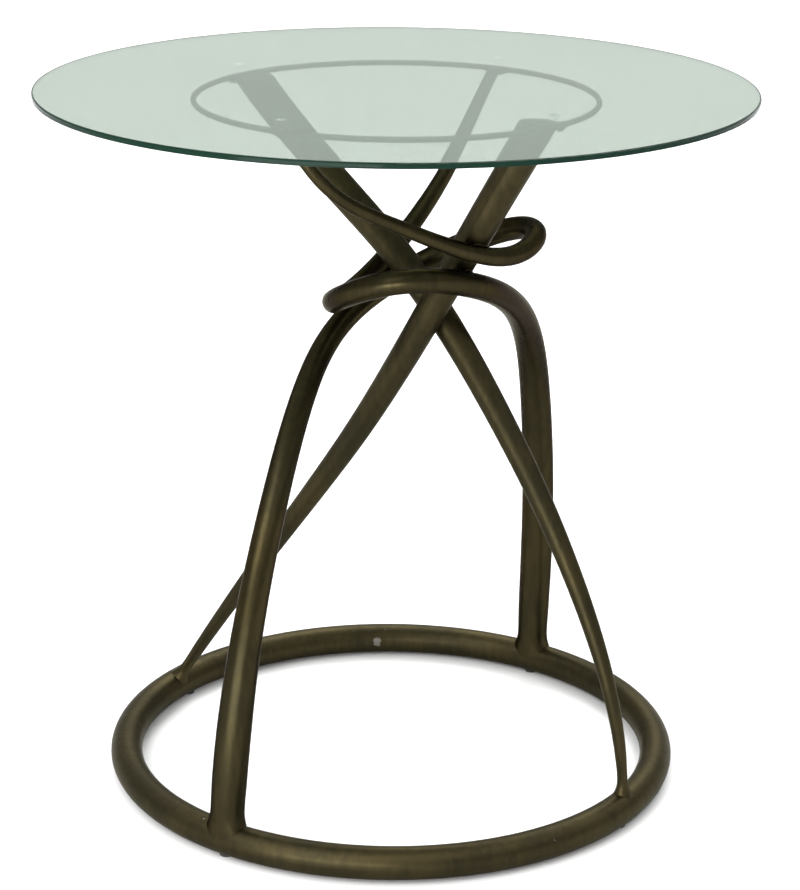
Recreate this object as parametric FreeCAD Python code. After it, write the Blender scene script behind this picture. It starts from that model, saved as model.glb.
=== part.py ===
import FreeCAD, Part
import math
import os

# Round glass table on a frame of two hoops and four interlaced, tapering round bars.
# Millimetres.  +Z up, origin on the floor under the middle of the glass,
# +X to the right and -Y towards the viewer of the front.

# Overall
TABLE_HEIGHT = 760.0          # floor to the top face of the glass
WAIST_SHARE = 0.737           # height of the knot of the four bars, as a share of the table height

# Glass disc, loose on its bumpers
GLASS_DIAMETER = 750.0
GLASS_THICKNESS = 6.0
GLASS_EDGE_RADIUS = 1.5       # rounded edge of the disc, both faces

# Thin hoop under the glass
UPPER_RING_RADIUS = 210.0     # centreline
UPPER_ROD_DIAMETER = 6.0
BAR_END_RISE = 2.0            # flat bar ends stand this far above the rod's centreline
BAR_OVERRUN = 10.0            # length drawn past the rod, then trimmed off

# Thick hoop on the floor
BASE_RING_RADIUS = 296.0      # centreline
BASE_BAR_DIAMETER = 34.5

# Round bars
HOOK_FOOT_STEP = 1.0          # hooked bars start this much thinner than the base bar
CLASP_REACH = 168.0           # the hooks reach this far from the table's axis
FOOT_RISE = 66.0              # height of the upright start of the hooked bars
FLARE_HEIGHT = 16.0           # welded feet widen over this height above the base bar
FLARE_WIDTH = 4.0             # and by this much on each side
FLARE_SHARES = (0.2, 0.4, 0.65, 1)    # sections drawn along the flare
SECTION_STEP = 24.0           # distance between the round sections of a bar
SECTION_POINTS = 12           # points on the outline of a round section
STRIP_SECTION_COUNT = 9       # sections spanned by one face along a bar

# Thickness of the bars from foot to top: poles of a smooth curve, in diameters of a hooked bar's foot
LEFT_HOOK_SHAPE = (1, 1.19, 0.94, 0.82, 0.72, 0.83, 0.42, 0.39, 0.37)
RIGHT_HOOK_SHAPE = (1, 1.13, 1.12, 1, 0.8, 0.76, 0.66, 0.4, 0.38)
LEFT_STRUT_SHAPE = (0.33, 0.72, 1.02, 1.09)
RIGHT_STRUT_SHAPE = (0.29, 0.71, 1.03, 1.1)

# Where the bars meet the hoops, degrees counter-clockwise from +X
FRONT_LEFT_FOOT = 235.0
FRONT_LEFT_TOP = 238.0
BACK_RIGHT_FOOT = 55.0
BACK_RIGHT_TOP = 58.0
BACK_LEFT_FOOT = 150.0
BACK_LEFT_TOP = 317.5
FRONT_RIGHT_FOOT = 326.5
FRONT_RIGHT_TOP = 143.5

# Clear bumpers between the thin hoop and the glass, one over the end of each bar
BUMPER_DIAMETER = 12.0
BUMPER_PAD = 9.0              # thickness between rod and glass

# Glides under the base hoop
GLIDE_COUNT = 4
GLIDE_START = 55.0            # degrees
GLIDE_DIAMETER = 15.0
GLIDE_LIFT = 1.5              # base hoop is held this far above the floor
GLIDE_RIM = 3.0               # height of the pad where it cups the hoop
STEM_DIAMETER = 6.0
STEM_LENGTH = 10.0            # into the hoop
STEM_CLEARANCE = 0.1

# Heights that follow from the sizes above
GLASS_UNDERSIDE = TABLE_HEIGHT - GLASS_THICKNESS
ROD_HEIGHT = GLASS_UNDERSIDE - BUMPER_PAD - UPPER_ROD_DIAMETER / 2
BAR_TOP = ROD_HEIGHT + BAR_END_RISE
BASE_HEIGHT = GLIDE_LIFT + BASE_BAR_DIAMETER / 2
WAIST_HEIGHT = TABLE_HEIGHT * WAIST_SHARE
HOOK_FOOT = BASE_BAR_DIAMETER - HOOK_FOOT_STEP

UP = FreeCAD.Vector(0, 0, 1)


def around(count, start):
    return [start + i * 360 / count for i in range(count)]


def polar(angle, radius, height):
    turn = math.radians(angle)
    return FreeCAD.Vector(radius * math.cos(turn), radius * math.sin(turn), height)


def low(x, y, share):
    """Point below the waist: x and y in radii of the base hoop, the height in waist heights."""
    return FreeCAD.Vector(x * BASE_RING_RADIUS, y * BASE_RING_RADIUS, share * WAIST_HEIGHT)


def waist(x, y, rise):
    """Point of the clasp, from its middle, in lengths of its reach."""
    return FreeCAD.Vector(x, y, rise) * CLASP_REACH + UP * WAIST_HEIGHT


def high(x, y, drop):
    """Point under the thin hoop: x and y in its radii, the drop a share of the way to the waist."""
    height = ROD_HEIGHT - drop * (ROD_HEIGHT - WAIST_HEIGHT)
    return FreeCAD.Vector(x * UPPER_RING_RADIUS, y * UPPER_RING_RADIUS, height)


def foot(angle):
    return polar(angle, BASE_RING_RADIUS, BASE_HEIGHT)


def shin(angle, reach):
    return polar(angle, reach * BASE_RING_RADIUS, FOOT_RISE)


def top(angle, reach):
    return polar(angle, reach * UPPER_RING_RADIUS, ROD_HEIGHT + BAR_OVERRUN)


def flare(distance):
    """Widening of a welded foot, on each side, at a distance from the base hoop's centreline."""
    above = max(distance - BASE_BAR_DIAMETER / 2, 0)
    return FLARE_WIDTH * max(1 - above / FLARE_HEIGHT, 0) ** 2


def round_outline():
    """Circle of radius 1 as one smooth closed curve."""
    points = [polar(angle, 1, 0) for angle in around(SECTION_POINTS, 0)]
    outline = Part.BSplineCurve()
    outline.interpolate(points, True)
    return outline


def bar(poles, shape):
    """Round bar of changing thickness along a smooth curve from its foot to its top."""
    curve = Part.BSplineCurve()
    curve.buildFromPoles(poles, False, 3)
    edge = curve.toShape()
    length = edge.Length
    thickness = Part.BSplineCurve()
    thickness.buildFromPoles([UP * size for size in shape], False, 3)
    flare_start = BASE_BAR_DIAMETER / 2
    flare_end = flare_start + FLARE_HEIGHT
    stops = [0, flare_start]
    for share in FLARE_SHARES:
        stops.append(flare_start + share * FLARE_HEIGHT)
    count = round((length - flare_end) / SECTION_STEP)
    for i in range(1, count + 1):
        stops.append(flare_end + (length - flare_end) * i / count)
    starts = range(0, len(stops) - STRIP_SECTION_COUNT, STRIP_SECTION_COUNT)
    breaks = [stops[i] for i in starts] + stops[-1:]

    outline = round_outline()
    rows = []
    side = UP.cross(FreeCAD.Vector(poles[0].x, poles[0].y, 0))
    for stop in stops:
        place = edge.getParameterByLength(min(stop, length))
        along = edge.tangentAt(place)
        side = side - along * side.dot(along)
        side.normalize()
        other = along.cross(side)
        share = min(stop / length, 1)
        radius = thickness.value(share).z * HOOK_FOOT / 2
        half_side = radius + flare(stop)
        half_other = radius + min(flare(stop), max(HOOK_FOOT / 2 - radius, 0))
        centre = edge.valueAt(place)
        row = []
        for p in outline.getPoles():
            row.append(centre + side * (half_side * p.x) + other * (half_other * p.y))
        rows.append(row)

    net = []
    for column in zip(*rows):
        run = Part.BSplineCurve()
        run.interpolate(Points=list(column), Parameters=stops)
        net.append(run.getPoles())
    skin = Part.BSplineSurface()
    skin.buildFromPolesMultsKnots(
        net, outline.getMultiplicities(), run.getMultiplicities(),
        outline.getKnots(), run.getKnots(), True, False, 3, 3)
    first, last = skin.bounds()[:2]
    walls = []
    for start, end in zip(breaks, breaks[1:]):
        strip = skin.copy()
        strip.segment(first, last, start, end)
        walls.append(strip.toShape())
    caps = [Part.Face(Part.Wire(skin.vIso(stop).toShape())) for stop in (breaks[0], breaks[-1])]
    shell = Part.Shell(walls + caps)
    shell.sewShape()
    return Part.Solid(shell)


# Hoops
upper_ring = Part.makeTorus(UPPER_RING_RADIUS, UPPER_ROD_DIAMETER / 2, FreeCAD.Vector(0, 0, ROD_HEIGHT))
base_ring = Part.makeTorus(BASE_RING_RADIUS, BASE_BAR_DIAMETER / 2, FreeCAD.Vector(0, 0, BASE_HEIGHT))

# Hooked bars: each rises from a foot, turns over at the waist, loops round and climbs to the hoop
leg_front_left = bar([
    foot(FRONT_LEFT_FOOT),
    shin(FRONT_LEFT_FOOT, 0.99),
    low(-0.544, -0.787, 0.262),
    low(-0.493, -0.703, 0.453),
    low(-0.409, -0.520, 0.653),
    waist(-0.560, -0.345, -0.613),
    waist(-0.327, 0.333, -0.298),
    waist(0.440, 0.476, 0.107),
    waist(1.000, 0.042, 0.369),
    waist(0.732, -0.518, 0.119),
    waist(-0.059, -0.787, 0.532),
    high(-0.364, -0.850, 0.320),
    top(FRONT_LEFT_TOP, 0.975),
], LEFT_HOOK_SHAPE)

leg_back_right = bar([
    foot(BACK_RIGHT_FOOT),
    shin(BACK_RIGHT_FOOT, 1),
    low(0.581, 0.791, 0.262),
    low(0.578, 0.736, 0.453),
    low(0.551, 0.618, 0.673),
    waist(0.869, 0.524, -0.390),
    waist(0.583, -0.470, 0.060),
    waist(-0.018, -0.857, 0.208),
    waist(-0.488, -0.280, -0.150),
    waist(-0.262, 0.315, -0.250),
    waist(0.351, 0.619, 0.458),
    high(0.456, 0.738, 0.080),
    top(BACK_RIGHT_TOP, 1.023),
], RIGHT_HOOK_SHAPE)

# Struts: thin at the floor, thick at the hoop under the glass, crossing at the waist
leg_back_left = bar([
    foot(BACK_LEFT_FOOT),
    low(-0.515, 0.353, 0.351),
    waist(-0.173, 0.149, -1.119),
    waist(0.321, -0.304, 0.042),
    top(BACK_LEFT_TOP, 0.938),
], LEFT_STRUT_SHAPE)

leg_front_right = bar([
    foot(FRONT_RIGHT_FOOT),
    low(0.834, -0.571, 0.186),
    low(0.672, -0.426, 0.462),
    waist(0.655, -0.321, -0.786),
    waist(0.035, 0.176, 0.156),
    high(-0.507, 0.433, 0.359),
    top(FRONT_RIGHT_TOP, 0.959),
], RIGHT_STRUT_SHAPE)

# Bar ends: flat just above the rod, nothing outside the rod's centreline, saddled on both hoops
lower_room = Part.makeCylinder(BASE_RING_RADIUS + BASE_BAR_DIAMETER, WAIST_HEIGHT)
upper_room = Part.makeCylinder(UPPER_RING_RADIUS, BAR_TOP)
room = lower_room.fuse(upper_room)


def fitted(leg):
    return leg.common(room).cut(base_ring).cut(upper_ring)


leg_front_left = fitted(leg_front_left)
leg_back_right = fitted(leg_back_right)
leg_back_left = fitted(leg_back_left)
leg_front_right = fitted(leg_front_right)

# Welded crossings: the bars are saddled on each other where they touch
leg_front_right = leg_front_right.cut(leg_back_left)
leg_front_left = leg_front_left.cut([leg_back_left, leg_front_right])
leg_back_right = leg_back_right.cut([leg_back_left, leg_front_right, leg_front_left])

# Glass disc
glass_top = Part.makeCylinder(GLASS_DIAMETER / 2, GLASS_THICKNESS, FreeCAD.Vector(0, 0, GLASS_UNDERSIDE))
rims = [edge for edge in glass_top.Edges if len(edge.Vertexes) == 1]
glass_top = glass_top.makeFillet(GLASS_EDGE_RADIUS, rims)

# Bumpers on the flat bar ends, saddled on the thin hoop's crest, flat under the glass
bumpers = []
for angle in (FRONT_LEFT_TOP, BACK_RIGHT_TOP, BACK_LEFT_TOP, FRONT_RIGHT_TOP):
    spot = polar(angle, UPPER_RING_RADIUS, BAR_TOP)
    bumper = Part.makeCylinder(BUMPER_DIAMETER / 2, GLASS_UNDERSIDE - BAR_TOP, spot)
    bumpers.append(bumper.cut(upper_ring))

# Glides: a pad that cups the base hoop and a stem pushed into a hole in it
glides = []
for angle in around(GLIDE_COUNT, GLIDE_START):
    spot = polar(angle, BASE_RING_RADIUS, 0)
    pad = Part.makeCylinder(GLIDE_DIAMETER / 2, GLIDE_RIM, spot).cut(base_ring)
    stem = Part.makeCylinder(STEM_DIAMETER / 2, GLIDE_LIFT + STEM_LENGTH, spot)
    glides.append(pad.fuse(stem).removeSplitter())
for angle in around(GLIDE_COUNT, GLIDE_START):
    spot = polar(angle, BASE_RING_RADIUS, 0)
    hole_depth = GLIDE_LIFT + STEM_LENGTH + STEM_CLEARANCE
    hole = Part.makeCylinder(STEM_DIAMETER / 2 + STEM_CLEARANCE, hole_depth, spot)
    base_ring = base_ring.cut(hole)

nodes = {
    "glass_top": glass_top,
    "upper_ring": upper_ring,
    "base_ring": base_ring,
    "leg_front_left": leg_front_left,
    "leg_back_right": leg_back_right,
    "leg_back_left": leg_back_left,
    "leg_front_right": leg_front_right,
}
for i, bumper in enumerate(bumpers):
    nodes["bumper_%d" % (i + 1)] = bumper
for i, glide in enumerate(glides):
    nodes["glide_%d" % (i + 1)] = glide

os.makedirs("parts", exist_ok=True)
for name, shape in nodes.items():
    print(name, "solids", len(shape.Solids), "valid", shape.isValid(), "volume", round(shape.Volume))
    shape.exportStep("parts/" + name + ".step")
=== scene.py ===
import math

import bmesh
import bpy
from bpy.props import FloatProperty, FloatVectorProperty, IntProperty, PointerProperty
from mathutils import Matrix, Vector


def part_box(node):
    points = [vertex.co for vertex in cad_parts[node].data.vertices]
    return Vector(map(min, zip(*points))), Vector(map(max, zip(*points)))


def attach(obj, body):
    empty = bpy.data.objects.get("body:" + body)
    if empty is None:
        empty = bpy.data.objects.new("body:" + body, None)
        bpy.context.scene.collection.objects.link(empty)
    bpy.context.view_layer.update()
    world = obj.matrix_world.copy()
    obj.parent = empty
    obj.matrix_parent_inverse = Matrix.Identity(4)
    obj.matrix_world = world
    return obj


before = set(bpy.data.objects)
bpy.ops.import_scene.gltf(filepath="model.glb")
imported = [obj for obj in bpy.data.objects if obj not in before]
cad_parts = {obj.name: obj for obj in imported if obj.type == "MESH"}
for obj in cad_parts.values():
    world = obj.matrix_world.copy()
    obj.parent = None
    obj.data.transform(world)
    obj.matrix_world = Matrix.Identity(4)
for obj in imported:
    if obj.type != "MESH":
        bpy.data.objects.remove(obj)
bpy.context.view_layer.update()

bl_info = {
    "name": "Round Glass Table",
    "version": (1, 0, 0),
    "blender": (4, 5, 0),
    "location": "View3D > Sidebar > Table",
    "description": "Finishes, weld fillets and a plain studio for a round glass table on bronze bars",
    "category": "Object",
}

HOOKS = ("leg_front_left", "leg_back_right")
STRUTS = ("leg_back_left", "leg_front_right")
HOOPS = ("upper_ring", "base_ring")
BUMPERS = tuple(name for name in sorted(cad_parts) if name.startswith("bumper"))
GLIDES = tuple(name for name in sorted(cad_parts) if name.startswith("glide"))

# The thin hoop, as the frame gives it
HOOP_LOW, HOOP_HIGH = (Vector(corner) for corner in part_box("upper_ring"))
ROD_RADIUS = (HOOP_HIGH.z - HOOP_LOW.z) / 2
ROD_HEIGHT = (HOOP_HIGH.z + HOOP_LOW.z) / 2
HOOP_RADIUS = (HOOP_HIGH.x - HOOP_LOW.x) / 2 - ROD_RADIUS
GLASS_RADIUS = Vector(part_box("glass_top")[1]).x

# The largest pale spot on the bronze, on the inner side of the base ring at the back:
# its middle, the distances between which it ends, and how ragged that edge is
PALE_SPOT = (-0.018, 0.278, 0.020)
PALE_SPOT_EDGE = (0.0090, 0.0105)
PALE_SPOT_RAGGED = 0.010

# Heights between which the specks low on the frame fade out
SPECK_HEIGHTS = (0.034, 0.050)

# The deep green is full from this share of its depth outwards, and lets a little light through
RIM_FULL = 0.8
RIM_COVER = 0.975

GLASS_IOR = 1.5
BLOOM_DRIFT = 0.02

BUMPER_MILKY = (0.90, 0.94, 0.92, 1.0)
BUMPER_CLEAR = (0.96, 0.98, 0.97, 1.0)
BUMPER_ALPHA = 0.62
GLIDE_BLACK = (0.012, 0.012, 0.012, 1.0)
GLIDE_SCUFFED = (0.045, 0.045, 0.043, 1.0)

# Where each bar meets the thin hoop, in degrees: its two sides along the rod
BAR_SIDES = {
    "leg_front_left": (237.3, 240.8),
    "leg_back_right": (56.4, 59.8),
    "leg_back_left": (313.7, 321.2),
    "leg_front_right": (138.9, 147.9),
}

# Where bars touch: middle of the patch, direction from bar to bar, direction along the patch,
# then its half length and half width
CROSSINGS = {
    "front_left_on_back_right": (
        (-0.0264, 0.0495, 0.5353), (0.428, 0.238, -0.872), (-0.698, -0.526, -0.487),
        0.0288, 0.0069),
    "front_left_on_back_left": (
        (0.0848, -0.0870, 0.6081), (0.317, -0.798, -0.513), (-0.803, -0.513, 0.302),
        0.0107, 0.0070),
    "back_right_on_back_left": (
        (0.0719, -0.0701, 0.5745), (0.538, -0.646, -0.542), (-0.314, -0.750, 0.582),
        0.0130, 0.0089),
    "back_left_on_front_right": (
        (0.0404, -0.0188, 0.5157), (0.603, 0.797, 0.029), (-0.093, 0.034, 0.995),
        0.0078, 0.0059),
}

# Weld fillets on the thin hoop: points round, how far the thick end is sunk into the bar, how
# much the thin end stands over the rod, and the way it swells at the bar
HOOP_FILLET_POINTS = 20
HOOP_FILLET_SUNK = 0.003
HOOP_FILLET_PROUD = 1.01
HOOP_FILLET_SWELL = Vector((-0.6, 0, -0.8))

# Weld fillets at the crossings: points round, sections along, and the size of each second section
BEAD_POINTS = 12
BEAD_STEPS = 40
BEAD_RIPPLE = 1.12

MERGE = 0.00001
SMOOTH_ANGLE = math.radians(40)

# Floor of the studio and the curve up at its edge
FLOOR_POINTS = 128
FLOOR_RADIUS = 9.0
COVE_RADIUS = 1.6
COVE_STEPS = 8

# Soft glows of the surround: their directions, and the cosines between which they fade in
KEY_TOWARD = (-0.487, -0.561, 0.669)
BACK_TOWARD = (0.12, 0.65, 0.75)
GLOW_EDGE = (0.91, 0.985)

LOW_LIGHT_PLACE = Vector((-0.6, -1.4, 0.3))
LOW_LIGHT_AIM = Vector((0.0, 0.0, 0.4))
LOW_LIGHT_SIZE = (1.1, 0.5)

SENSOR_WIDTH = 36.0
CLIP_END = 100.0
PATINA = "bronze_patina"


class Wire:
    """An output socket of a material's nodes. Arithmetic on it adds Math nodes."""

    def __init__(self, tree, output):
        self.tree = tree
        self.output = output

    def node(self, kind, settings, sockets, output=0):
        """Add a node: its settings first, then the values and links of its sockets."""
        made = self.tree.nodes.new(kind)
        for name, value in settings.items():
            setattr(made, name, value)
        for name, value in sockets.items():
            if isinstance(value, Wire):
                self.tree.links.new(value.output, made.inputs[name])
            else:
                made.inputs[name].default_value = value
        return Wire(self.tree, made.outputs[output])

    def math(self, operation, first, second):
        return self.node("ShaderNodeMath", {"operation": operation}, {0: first, 1: second})

    def __add__(self, other):
        return self.math("ADD", self, other)

    def __radd__(self, other):
        return self.math("ADD", other, self)

    def __sub__(self, other):
        return self.math("SUBTRACT", self, other)

    def __rsub__(self, other):
        return self.math("SUBTRACT", other, self)

    def __mul__(self, other):
        return self.math("MULTIPLY", self, other)

    def __rmul__(self, other):
        return self.math("MULTIPLY", other, self)

    def stretched(self, x, y, z):
        """These coordinates, each multiplied by a number."""
        return self.node("ShaderNodeVectorMath", {"operation": "MULTIPLY"}, {0: self, 1: (x, y, z)})

    def measure(self, operation, other=(0, 0, 0)):
        """A number from these coordinates: length, or distance or dot product with others."""
        return self.node(
            "ShaderNodeVectorMath", {"operation": operation}, {0: self, 1: other}, "Value")

    def part(self, axis):
        """One coordinate: X, Y or Z."""
        return self.node("ShaderNodeSeparateXYZ", {}, {0: self}, axis)

    def step(self, start, end):
        """0 below start, 1 above end, smooth between."""
        return self.node(
            "ShaderNodeMapRange",
            {"interpolation_type": "SMOOTHSTEP"},
            {"Value": self, "From Min": start, "From Max": end},
        )

    def noise(self, scale, detail=3.0, roughness=0.55):
        """Cloudy pattern from 0 to 1 on these coordinates, scale in repeats per metre."""
        sockets = {"Vector": self, "Scale": scale, "Detail": detail, "Roughness": roughness}
        return self.node("ShaderNodeTexNoise", {"noise_dimensions": "3D"}, sockets)

    def between(self, first, second):
        """Colour mixed from first to second by this value."""
        return self.node("ShaderNodeMix", {"data_type": "RGBA"}, {0: self, 6: first, 7: second}, 2)

    def shader_between(self, first, second):
        """Shader mixed from first to second by this value."""
        return self.node("ShaderNodeMixShader", {}, {0: self, 1: first, 2: second})

    def bump(self, strength, distance):
        """Normal of a surface raised by this value."""
        sockets = {"Height": self, "Strength": strength, "Distance": distance}
        return self.node("ShaderNodeBump", {}, sockets)


def new_material(name):
    """An empty material: its Principled shader and its Object coordinates."""
    material = bpy.data.materials.new(name)
    material.use_nodes = True
    tree = material.node_tree
    shader = tree.nodes["Principled BSDF"]
    place = Wire(tree, tree.nodes.new("ShaderNodeTexCoord").outputs["Object"])
    return material, shader, place


def feed(shader, **sockets):
    """Set or link sockets of a shader, by their names with underscores."""
    for name, value in sockets.items():
        socket = shader.inputs[name.replace("_", " ")]
        if isinstance(value, Wire):
            value.tree.links.new(value.output, socket)
        else:
            socket.default_value = value


def bronze_material(name, settings, roughness, edge):
    """Dark bronze: a faint cloudy patina drawn out in streaks, with a few pale spots low down."""
    material, shader, place = new_material(name)
    clouds = place.noise(scale=11.0, detail=3.0, roughness=0.55)
    streaks = place.stretched(1.0, 1.0, 0.12).noise(scale=150.0, detail=3.0, roughness=0.6)
    grain = place.noise(scale=240.0, detail=3.0, roughness=0.6)
    dents = place.noise(scale=55.0, detail=2.0)
    rubbed = (clouds * 0.6 + streaks * 0.4).step(start=0.38, end=0.66)
    patina = rubbed.between(settings.shade, settings.rubbed)
    low_down = 1 - place.part("Z").step(*SPECK_HEIGHTS)
    specks = place.noise(scale=85.0, detail=2.0, roughness=0.5).step(start=0.76, end=0.775) * low_down
    # One larger pale spot on the base ring, with a ragged edge, joins the pale specks low down
    distance = place.measure("DISTANCE", PALE_SPOT) + place.noise(scale=260.0) * PALE_SPOT_RAGGED
    pale_spots = specks + 1 - distance.step(*PALE_SPOT_EDGE)
    feed(
        shader,
        Base_Color=pale_spots.between(patina, settings.pale_spots),
        Metallic=settings.metallic - pale_spots * 0.5,
        Roughness=roughness + grain * 0.10 - rubbed * 0.05,
        Specular_Tint=edge,
        Normal=(clouds * 0.55 + dents * 0.25 + streaks * 0.2).bump(strength=0.25, distance=0.0012),
    )
    return material


def glass_material(settings):
    """Clear float glass with a faint green bloom on its faces, deep green at the rim."""
    material, shader, place = new_material("green_float_glass")
    radius = place.stretched(1.0, 1.0, 0.0).measure("LENGTH")
    rim = radius.step(
        start=GLASS_RADIUS - settings.rim_depth, end=GLASS_RADIUS - settings.rim_depth * RIM_FULL)
    haze = place.noise(scale=7.0, detail=4.0, roughness=0.6)
    feed(
        shader,
        Base_Color=haze.between(settings.face, settings.face_haze),
        Roughness=0.0,
        Transmission_Weight=1.0,
        IOR=GLASS_IOR,
    )
    tree = material.node_tree
    bloom = tree.nodes.new("ShaderNodeBsdfPrincipled")
    feed(bloom, Base_Color=settings.bloom, Roughness=0.8, Specular_IOR_Level=0.0)
    face = (settings.bloom_share + haze * BLOOM_DRIFT).shader_between(
        Wire(tree, shader.outputs[0]), Wire(tree, bloom.outputs[0]))
    edge = tree.nodes.new("ShaderNodeBsdfPrincipled")
    feed(
        edge,
        Base_Color=haze.between(settings.rim, settings.rim_light),
        Roughness=0.12 + haze * 0.1,
        Specular_IOR_Level=0.05,
    )
    surface = (rim * RIM_COVER).shader_between(face, Wire(tree, edge.outputs[0]))
    tree.links.new(surface.output, tree.nodes["Material Output"].inputs["Surface"])
    return material


def bumper_material():
    """Clear soft pad, a little milky."""
    material, shader, place = new_material("clear_bumper")
    cloud = place.noise(scale=260.0, detail=2.0)
    feed(
        shader,
        Base_Color=cloud.between(BUMPER_MILKY, BUMPER_CLEAR),
        Roughness=0.05 + cloud * 0.1,
        Transmission_Weight=1.0,
        IOR=1.02,
        Specular_IOR_Level=0.0,
        Alpha=BUMPER_ALPHA,
    )
    return material


def glide_material():
    """Black moulded pad, matte and slightly scuffed."""
    material, shader, place = new_material("black_glide")
    grain = place.noise(scale=700.0, detail=3.0)
    scuff = place.noise(scale=160.0, detail=4.0, roughness=0.65).step(start=0.56, end=0.72)
    feed(
        shader,
        Base_Color=scuff.between(GLIDE_BLACK, GLIDE_SCUFFED),
        Roughness=0.55 + grain * 0.3,
        Normal=grain.bump(strength=0.2, distance=0.0003),
    )
    return material


def floor_material(settings):
    """Pale matte studio floor."""
    material, shader, place = new_material("pale_floor")
    cloud = place.noise(scale=0.7, detail=3.0)
    feed(
        shader,
        Base_Color=cloud.between(settings.floor, settings.floor_cloud),
        Roughness=0.75 + cloud * 0.1,
    )
    return material


def dress(names, material):
    """Put a material on the slots of these nodes of the frame."""
    for name in names:
        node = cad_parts.get(name)
        if node is None or not node.material_slots:
            raise RuntimeError("no node with a material slot: " + name)
        for slot in node.material_slots:
            slot.material = material


def finished_bronze():
    """The bronze that the hooked bars have, for the fillets."""
    bronze = bpy.data.materials.get(PATINA)
    if bronze is None:
        raise RuntimeError("the frame has no bronze yet")
    return bronze


def start_piece(name):
    """Name the primitive that was just added, and open it for editing."""
    piece = bpy.context.active_object
    piece.name = name
    piece.data.name = name
    bpy.ops.object.mode_set(mode="EDIT")
    bpy.ops.mesh.select_mode(type="VERT")
    return piece


def pick(piece, test):
    """Select the points of an open piece whose place passes a test."""
    bpy.ops.mesh.select_all(action="DESELECT")
    shape = bmesh.from_edit_mesh(piece.data)
    found = 0
    for point in shape.verts:
        point.select = test(point.co)
        found += point.select
    shape.select_flush_mode()
    bmesh.update_edit_mesh(piece.data)
    if not found:
        raise RuntimeError("nothing to shape on " + piece.name)


def close_piece(piece):
    """Merge doubles, close the ends, turn the faces outwards and leave edit mode."""
    bpy.ops.mesh.select_all(action="SELECT")
    bpy.ops.mesh.remove_doubles(threshold=MERGE)
    bpy.ops.mesh.fill_holes(sides=0)
    bpy.ops.mesh.normals_make_consistent(inside=False)
    bpy.ops.object.mode_set(mode="OBJECT")


def settle(piece, material, body):
    """Put the piece's place into its mesh, smooth it, and give it its finish and its body."""
    bpy.ops.object.select_all(action="DESELECT")
    piece.select_set(True)
    bpy.context.view_layer.objects.active = piece
    bpy.ops.object.transform_apply(location=True, rotation=True, scale=True)
    bpy.ops.object.shade_smooth_by_angle(angle=SMOOTH_ANGLE)
    piece.data.materials.clear()
    piece.data.materials.append(material)
    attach(piece, body)


def placed_copy(piece, name, matrix):
    """A copy with a mesh of its own, moved by a matrix; a mirrored one keeps its faces outwards."""
    copy = bpy.data.objects.new(name, piece.data.copy())
    copy.data.name = name
    bpy.context.collection.objects.link(copy)
    copy.data.transform(matrix)
    if matrix.determinant() < 0:
        copy.data.flip_normals()
    return copy


class BronzeFinish(bpy.types.PropertyGroup):
    shade: FloatVectorProperty(
        name="Shade", description="Dark bronze of the bars and hoops",
        subtype="COLOR", size=4, min=0, max=1, default=(0.021, 0.0177, 0.0084, 1.0))
    rubbed: FloatVectorProperty(
        name="Rubbed", description="Warmer bronze where the patina is thin",
        subtype="COLOR", size=4, min=0, max=1, default=(0.034, 0.0268, 0.0112, 1.0))
    # Colour of the pale specks low down and of the one larger pale spot on the base ring
    pale_spots: FloatVectorProperty(
        name="Chips", description="Pale bare spots low on the frame",
        subtype="COLOR", size=4, min=0, max=1, default=(0.10, 0.093, 0.08, 1.0))
    satin_edge: FloatVectorProperty(
        name="Satin edge", description="Tint of the sheen where the hooked bars turn away",
        subtype="COLOR", size=4, min=0, max=1, default=(0.38, 0.37, 0.33, 1.0))
    dull_edge: FloatVectorProperty(
        name="Dull edge", description="Tint of the sheen where the struts and hoops turn away",
        subtype="COLOR", size=4, min=0, max=1, default=(0.60, 0.59, 0.55, 1.0))
    metallic: FloatProperty(
        name="Metallic", description="How metallic the patina is",
        subtype="FACTOR", min=0, max=1, default=0.9)
    satin: FloatProperty(
        name="Satin", description="Roughness of the two hooked bars",
        subtype="FACTOR", min=0, max=1, default=0.30)
    dull: FloatProperty(
        name="Dull", description="Roughness of the two struts and both hoops",
        subtype="FACTOR", min=0, max=1, default=0.40)


class GlassFinish(bpy.types.PropertyGroup):
    face: FloatVectorProperty(
        name="Face", description="Tint seen through the faces",
        subtype="COLOR", size=4, min=0, max=1, default=(0.34, 0.385, 0.348, 1.0))
    face_haze: FloatVectorProperty(
        name="Face haze", description="Slightly lighter tint that drifts over the faces",
        subtype="COLOR", size=4, min=0, max=1, default=(0.355, 0.40, 0.363, 1.0))
    bloom: FloatVectorProperty(
        name="Bloom", description="Pale green bloom on the faces",
        subtype="COLOR", size=4, min=0, max=1, default=(0.58, 0.77, 0.61, 1.0))
    bloom_share: FloatProperty(
        name="Bloom share", description="How much of the faces the bloom covers",
        subtype="FACTOR", min=0, max=1, default=0.07)
    rim: FloatVectorProperty(
        name="Rim", description="Deep green of the edge",
        subtype="COLOR", size=4, min=0, max=1, default=(0.002, 0.012, 0.007, 1.0))
    rim_light: FloatVectorProperty(
        name="Rim light", description="Second, clearer green of the edge",
        subtype="COLOR", size=4, min=0, max=1, default=(0.003, 0.020, 0.012, 1.0))
    rim_depth: FloatProperty(
        name="Rim depth", description="How far the deep green reaches in from the edge",
        unit="LENGTH", min=0.0005, max=0.01, default=0.0020)


class FilletSizes(bpy.types.PropertyGroup):
    reach: FloatProperty(
        name="Reach", description="Length of a hoop fillet along the rod, from the bar's side",
        unit="LENGTH", min=0.002, max=0.03, default=0.011)
    depth: FloatProperty(
        name="Depth", description="Radius of a hoop fillet at the bar's side",
        unit="LENGTH", min=0.0035, max=0.01, default=0.005)
    steps: IntProperty(
        name="Steps", description="Sections along a hoop fillet", min=6, max=40, default=14)
    bead: FloatProperty(
        name="Bead", description="Radius of the fillet round a crossing of bars",
        unit="LENGTH", min=0.001, max=0.004, default=0.0014)


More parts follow.
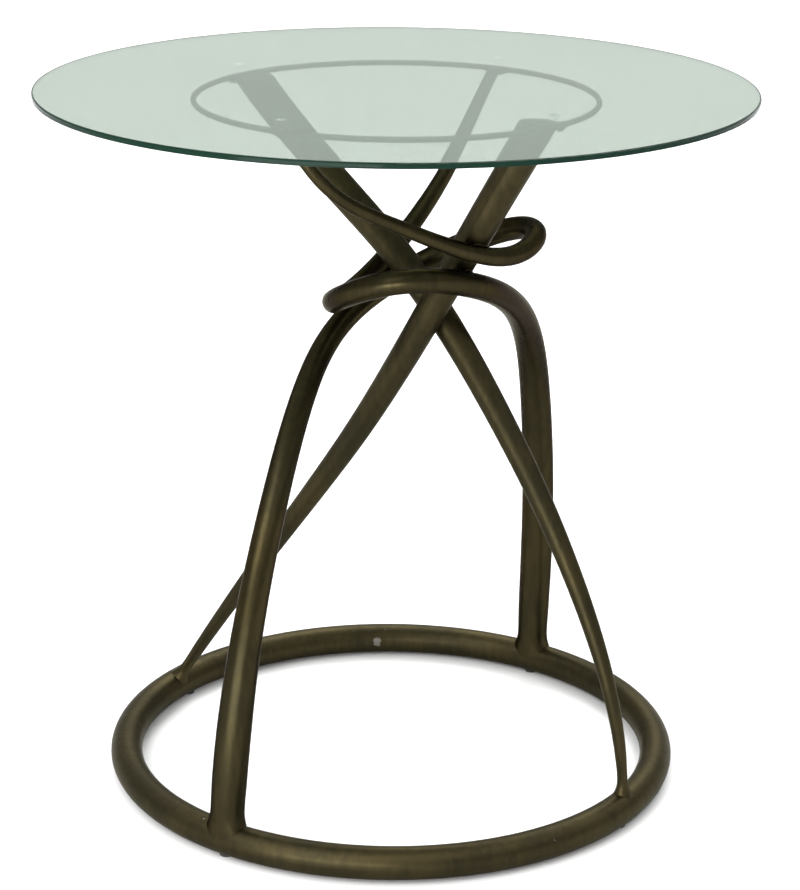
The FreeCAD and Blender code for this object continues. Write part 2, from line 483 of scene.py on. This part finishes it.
class StageSettings(bpy.types.PropertyGroup):
    floor: FloatVectorProperty(
        name="Floor", description="Pale floor",
        subtype="COLOR", size=4, min=0, max=1, default=(0.70, 0.70, 0.695, 1.0))
    floor_cloud: FloatVectorProperty(
        name="Floor cloud", description="Faint second tone of the floor",
        subtype="COLOR", size=4, min=0, max=1, default=(0.72, 0.72, 0.72, 1.0))
    sky_front: FloatProperty(
        name="Front surround", description="Brightness of the surround in front of the table",
        min=0, max=3, default=0.45)
    sky_back: FloatProperty(
        name="Back surround", description="Brightness of the surround behind the table",
        min=0, max=3, default=0.58)
    sky_top: FloatProperty(
        name="Overhead", description="Brightness of the surround overhead",
        min=0, max=5, default=2.5)
    key: FloatProperty(
        name="Key", description="Brightness of the soft glow in front, high on the left",
        min=0, default=5.0)
    back: FloatProperty(
        name="Back glow", description="Brightness of the soft glow high behind the table",
        min=0, default=5.0)
    low: FloatProperty(
        name="Low light", description="Power of the low light in front",
        unit="POWER", min=0, default=18.0)
    eye: FloatVectorProperty(
        name="Eye", description="Place of the camera", subtype="TRANSLATION", unit="LENGTH",
        size=3, default=(0.0, -2.655, 1.254))
    lens: FloatProperty(
        name="Lens", description="Focal length of the camera",
        unit="CAMERA", min=10, default=104.56)
    yaw: FloatProperty(
        name="Yaw", description="Turn of the camera to the right",
        unit="ROTATION", default=math.radians(0.15))
    pitch: FloatProperty(
        name="Pitch", description="Tilt of the camera down",
        unit="ROTATION", default=math.radians(18.45))
    roll: FloatProperty(
        name="Roll", description="Roll of the camera",
        unit="ROTATION", default=math.radians(0.52))


class TableSettings(bpy.types.PropertyGroup):
    bronze: PointerProperty(type=BronzeFinish)
    glass: PointerProperty(type=GlassFinish)
    fillets: PointerProperty(type=FilletSizes)
    stage: PointerProperty(type=StageSettings)


class FinishFrame(bpy.types.Operator):
    """Give the bars and both hoops their bronze"""
    bl_idname = "dining_table.finish_frame"
    bl_label = "Finish Frame"

    def execute(self, context):
        settings = context.scene.dining_table.bronze
        satin = bronze_material(PATINA, settings, settings.satin, settings.satin_edge)
        dull = bronze_material("dull_bronze", settings, settings.dull, settings.dull_edge)
        dress(HOOKS, satin)
        dress(STRUTS + HOOPS, dull)
        return {"FINISHED"}


class AddHoopFillets(bpy.types.Operator):
    """Model one weld fillet on the thin hoop and copy it to both sides of every bar"""
    bl_idname = "dining_table.add_hoop_fillets"
    bl_label = "Add Hoop Fillets"

    def execute(self, context):
        sizes = context.scene.dining_table.fillets
        bronze = finished_bronze()
        sunk = HOOP_FILLET_SUNK / HOOP_RADIUS
        turn = sunk + sizes.reach / HOOP_RADIUS
        proud = ROD_RADIUS * HOOP_FILLET_PROUD

        bpy.ops.object.select_all(action="DESELECT")
        start = Matrix.Rotation(-sunk, 4, "Z") @ Vector((HOOP_RADIUS, 0, ROD_HEIGHT))
        bpy.ops.mesh.primitive_circle_add(
            vertices=HOOP_FILLET_POINTS, radius=proud, location=start,
            rotation=(math.pi / 2, 0, -sunk))
        bpy.ops.object.transform_apply(location=True, rotation=True, scale=True)
        fillet = start_piece("hoop_fillet")
        bpy.ops.mesh.select_all(action="SELECT")
        bpy.ops.mesh.spin(steps=sizes.steps, angle=-turn, center=(0, 0, ROD_HEIGHT), axis=(0, 0, 1))
        gap = turn / sizes.steps
        for i in range(sizes.steps + 1):
            angle = i * gap - sunk
            share = 1 - min(max(angle, 0) * HOOP_RADIUS / sizes.reach, 1)
            swell = (sizes.depth - proud) * share ** 2
            middle = Matrix.Rotation(angle, 4, "Z") @ Vector((HOOP_RADIUS, 0, ROD_HEIGHT))
            pick(fillet, lambda co: abs(math.atan2(co.y, co.x) - angle) < gap / 3)
            size = 1 + swell / proud
            bpy.ops.transform.resize(value=(size, size, size), center_override=middle)
            inward = Matrix.Rotation(angle, 4, "Z") @ HOOP_FILLET_SWELL
            bpy.ops.transform.translate(value=inward * swell)
        close_piece(fillet)

        for bar, sides in BAR_SIDES.items():
            first = Matrix.Rotation(math.radians(sides[1]), 4, "Z")
            mirror = Matrix.Scale(-1, 4, (0, 1, 0))
            second = Matrix.Rotation(math.radians(sides[0]), 4, "Z") @ mirror
            pair = [
                placed_copy(fillet, bar + "_top_fillet", first),
                placed_copy(fillet, bar + "_far_side", second),
            ]
            bpy.ops.object.select_all(action="DESELECT")
            for piece in pair:
                piece.select_set(True)
            bpy.context.view_layer.objects.active = pair[0]
            bpy.ops.object.join()
            settle(pair[0], bronze, "frame")
        bpy.data.objects.remove(fillet)
        return {"FINISHED"}


class AddCrossingFillets(bpy.types.Operator):
    """Model the small rippled fillets where bars are welded to each other"""
    bl_idname = "dining_table.add_crossing_fillets"
    bl_label = "Add Crossing Fillets"

    def execute(self, context):
        bead = context.scene.dining_table.fillets.bead
        bronze = finished_bronze()
        for name, (middle, across, along, length, width) in CROSSINGS.items():
            bpy.ops.object.select_all(action="DESELECT")
            bpy.ops.mesh.primitive_circle_add(
                vertices=BEAD_POINTS, radius=bead, location=(width, 0, 0),
                rotation=(math.pi / 2, 0, 0))
            bpy.ops.object.transform_apply(location=True, rotation=True, scale=True)
            fillet = start_piece("fillet_" + name)
            bpy.ops.mesh.select_all(action="SELECT")
            bpy.ops.mesh.spin(
                steps=BEAD_STEPS, angle=2 * math.pi, center=(0, 0, 0), axis=(0, 0, 1))
            bpy.ops.mesh.select_all(action="SELECT")
            bpy.ops.mesh.remove_doubles(threshold=MERGE)
            for i in range(0, BEAD_STEPS, 2):
                angle = i * 2 * math.pi / BEAD_STEPS
                ripple = Vector((math.cos(angle), math.sin(angle), 0))
                pick(fillet, lambda co: Vector((co.x, co.y, 0)).angle(ripple) < math.pi / BEAD_STEPS)
                bpy.ops.transform.resize(value=(BEAD_RIPPLE,) * 3, center_override=ripple * width)
            if length > width:
                for side in (1, -1):
                    pick(fillet, lambda co: co.x * side > 0.0001)
                    bpy.ops.transform.translate(value=(side * (length - width), 0, 0))
            close_piece(fillet)
            third = Vector(across).cross(Vector(along)).normalized()
            along = third.cross(Vector(across)).normalized()
            turn = Matrix((along, third, Vector(across).normalized())).transposed().to_4x4()
            fillet.data.transform(Matrix.Translation(middle) @ turn)
            settle(fillet, bronze, "frame")
        return {"FINISHED"}


class FinishGlass(bpy.types.Operator):
    """Give the disc its glass"""
    bl_idname = "dining_table.finish_glass"
    bl_label = "Finish Glass"

    def execute(self, context):
        dress(("glass_top",), glass_material(context.scene.dining_table.glass))
        return {"FINISHED"}


class FinishPads(bpy.types.Operator):
    """Give the bumpers under the glass and the glides under the base their materials"""
    bl_idname = "dining_table.finish_pads"
    bl_label = "Finish Pads"

    def execute(self, context):
        dress(BUMPERS, bumper_material())
        dress(GLIDES, glide_material())
        return {"FINISHED"}


class SetStage(bpy.types.Operator):
    """Lay the pale floor with its raised edge, and set the surround, the lights and the camera"""
    bl_idname = "dining_table.set_stage"
    bl_label = "Set Stage"

    def execute(self, context):
        settings = context.scene.dining_table.stage
        self.lay_floor(settings)
        self.light_surround(context.scene, settings)
        self.add_low_light(settings.low)
        self.set_camera(context.scene, settings)
        return {"FINISHED"}

    def lay_floor(self, settings):
        bpy.ops.object.select_all(action="DESELECT")
        bpy.ops.mesh.primitive_circle_add(
            vertices=FLOOR_POINTS, radius=FLOOR_RADIUS, fill_type="NGON")
        floor = start_piece("studio_floor")
        for i in range(COVE_STEPS):
            before = math.pi / 2 * i / COVE_STEPS
            after = math.pi / 2 * (i + 1) / COVE_STEPS
            rise = COVE_RADIUS * (math.cos(before) - math.cos(after))
            edge = FLOOR_RADIUS + COVE_RADIUS * math.sin(before)
            grow = (FLOOR_RADIUS + COVE_RADIUS * math.sin(after)) / edge
            pick(floor, lambda co: Vector((co.x, co.y)).length > edge - 0.001)
            bpy.ops.mesh.extrude_edges_move(TRANSFORM_OT_translate={"value": (0, 0, rise)})
            bpy.ops.transform.resize(value=(grow, grow, 1))
        bpy.ops.object.mode_set(mode="OBJECT")
        bpy.ops.object.shade_smooth_by_angle(angle=SMOOTH_ANGLE)
        floor.data.materials.append(floor_material(settings))

    def light_surround(self, scene, settings):
        world = bpy.data.worlds.new("pale_surround")
        world.use_nodes = True
        tree = world.node_tree
        direction = Wire(tree, tree.nodes.new("ShaderNodeTexCoord").outputs["Generated"])
        behind = direction.part("Y").step(start=-0.2, end=0.7)
        overhead = direction.part("Z").step(start=0.25, end=0.9)
        around = settings.sky_front + (settings.sky_back - settings.sky_front) * behind
        sky = around * (1 - overhead) + settings.sky_top * overhead
        for toward, glow in ((KEY_TOWARD, settings.key), (BACK_TOWARD, settings.back)):
            sky = sky + direction.measure("DOT_PRODUCT", toward).step(*GLOW_EDGE) * glow
        feed(tree.nodes["Background"], Color=(1.0, 1.0, 1.0, 1.0), Strength=sky)
        scene.world = world
        scene.view_settings.view_transform = "Standard"

    def add_low_light(self, power):
        aim = LOW_LIGHT_AIM - LOW_LIGHT_PLACE
        bpy.ops.object.light_add(
            type="AREA", location=LOW_LIGHT_PLACE,
            rotation=aim.to_track_quat("-Z", "Y").to_euler())
        lamp = bpy.context.active_object
        lamp.name = "low_light"
        lamp.data.shape = "RECTANGLE"
        lamp.data.size, lamp.data.size_y = LOW_LIGHT_SIZE
        lamp.data.energy = power
        # Its outline stays out of the picture, also through the glass
        lamp.visible_camera = False
        lamp.visible_transmission = False

    def set_camera(self, scene, settings):
        ahead = Vector((
            math.sin(settings.yaw) * math.cos(settings.pitch),
            math.cos(settings.yaw) * math.cos(settings.pitch),
            -math.sin(settings.pitch)))
        right = Vector((math.cos(settings.yaw), -math.sin(settings.yaw), 0))
        up = right.cross(ahead)
        level = Matrix((right, up, -ahead)).transposed()
        turned = level @ Matrix.Rotation(settings.roll, 3, "Z")
        bpy.ops.object.camera_add(location=settings.eye, rotation=turned.to_euler())
        camera = bpy.context.active_object
        camera.name = "front_camera"
        camera.data.lens = settings.lens
        camera.data.sensor_width = SENSOR_WIDTH
        camera.data.clip_end = CLIP_END
        scene.camera = camera


class TablePanel(bpy.types.Panel):
    """Settings and steps of the table"""
    bl_idname = "VIEW3D_PT_dining_table"
    bl_label = "Round Glass Table"
    bl_space_type = "VIEW_3D"
    bl_region_type = "UI"
    bl_category = "Table"

    def draw(self, context):
        table = context.scene.dining_table
        for title, group in (
            ("Bronze", table.bronze), ("Glass", table.glass),
            ("Fillets", table.fillets), ("Stage", table.stage),
        ):
            box = self.layout.box()
            box.label(text=title)
            for key in group.__annotations__:
                box.prop(group, key)
        for step in STEPS:
            self.layout.operator(step.bl_idname)


SETTINGS = (BronzeFinish, GlassFinish, FilletSizes, StageSettings, TableSettings)
STEPS = (FinishFrame, AddHoopFillets, AddCrossingFillets, FinishGlass, FinishPads, SetStage)


def register():
    for group in SETTINGS + STEPS + (TablePanel,):
        bpy.utils.register_class(group)
    bpy.types.Scene.dining_table = PointerProperty(type=TableSettings)


def unregister():
    del bpy.types.Scene.dining_table
    for group in reversed(SETTINGS + STEPS + (TablePanel,)):
        bpy.utils.unregister_class(group)


def main():
    register()
    bpy.ops.dining_table.finish_frame()
    bpy.ops.dining_table.add_hoop_fillets()
    bpy.ops.dining_table.add_crossing_fillets()
    bpy.ops.dining_table.finish_glass()
    bpy.ops.dining_table.finish_pads()
    bpy.ops.dining_table.set_stage()


if __name__ == "__main__":
    main()
